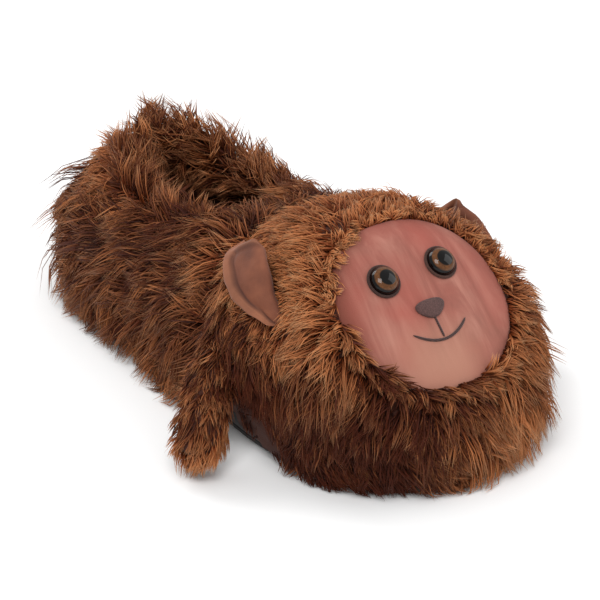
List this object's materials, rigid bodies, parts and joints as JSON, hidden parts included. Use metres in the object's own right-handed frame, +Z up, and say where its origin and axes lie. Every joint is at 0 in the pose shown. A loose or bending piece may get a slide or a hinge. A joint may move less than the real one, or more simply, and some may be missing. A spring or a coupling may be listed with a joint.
{
  "type": "animal slipper",
  "caption": "Shaggy plush animal slipper for the right foot, with a soft face on a padded toe, round eyes, ears and short furry arms on a thin flat sole.",
  "frame": {"origin": "on the floor, on the centre line of the sole at half its length", "axes": "+Z up, +Y towards the heel, -Y towards the toe, +X towards the wearer's left (the inner side of this right shoe)"},
  "size_m": [0.2286, 0.3309, 0.1224],
  "materials": {
    "outsole": "matt black sole sheet",
    "midsole": "black cloth wrapped round foam",
    "insole": "dark brown short-pile lining",
    "upper": "long reddish brown plush fur",
    "head": "long brown plush fur, lighter on top",
    "face_panel": "pinkish brown velour",
    "eyes": "glossy domed plastic",
    "ears": "brown velour, stuffed",
    "arms": "brown plush fur, lighter at the tip"
  },
  "bodies": {
    "root": {"outsole": "outsole", "midsole": "midsole", "insole": "insole", "upper": "upper", "head": "head", "face_panel": "face_panel", "eye_right": "eyes", "eye_left": "eyes", "ear_right": "ears", "ear_left": "ears", "arm_right": "arms", "arm_left": "arms"}
  },
  "joints": []
}
